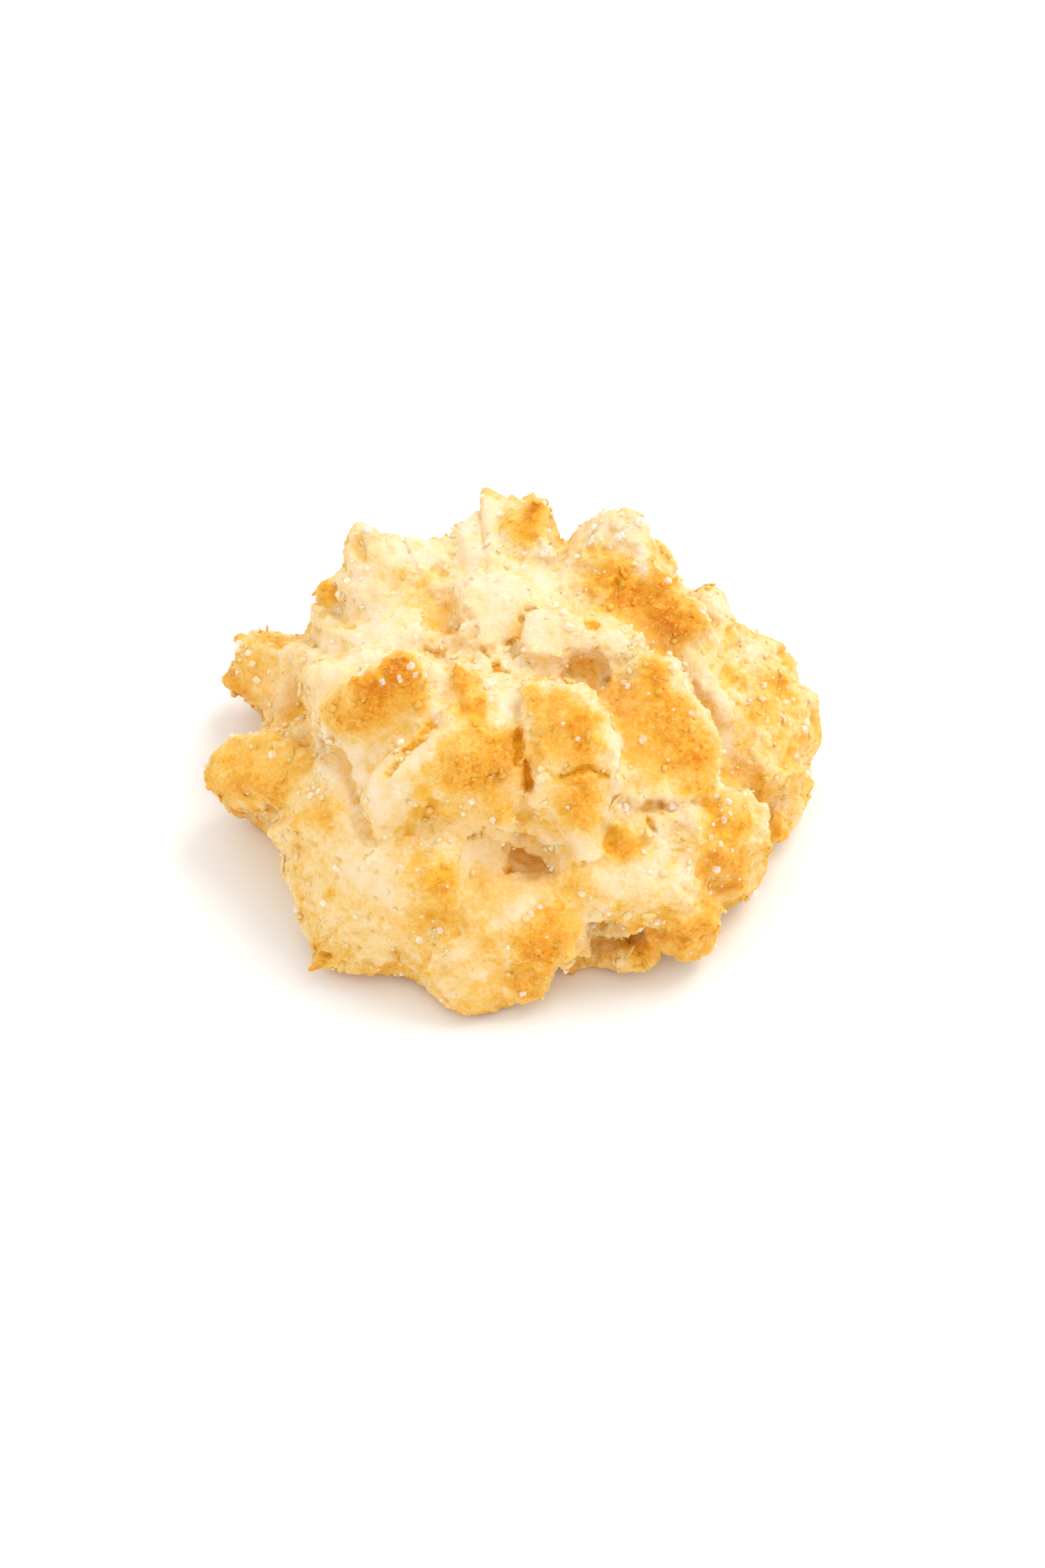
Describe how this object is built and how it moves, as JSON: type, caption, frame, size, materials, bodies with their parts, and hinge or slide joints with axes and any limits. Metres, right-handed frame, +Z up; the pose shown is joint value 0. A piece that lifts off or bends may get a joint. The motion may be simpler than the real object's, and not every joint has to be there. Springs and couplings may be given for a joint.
{
  "type": "coconut macaroon",
  "caption": "Rustic coconut macaroon: one rough baked drop of pale golden dough with browned peaks, torn ledges and clinging sugar crystals",
  "frame": {"origin": "middle of the footprint, on the flat underside", "axes": "+X across the widest side, +Y toward the back, +Z up"},
  "size_m": [0.0576, 0.0568, 0.0287],
  "materials": {
    "baked_dough": "dry crumbly crust, pale gold with browned peaks"
  },
  "bodies": {
    "root": {"macaroon": "baked_dough"}
  },
  "joints": []
}
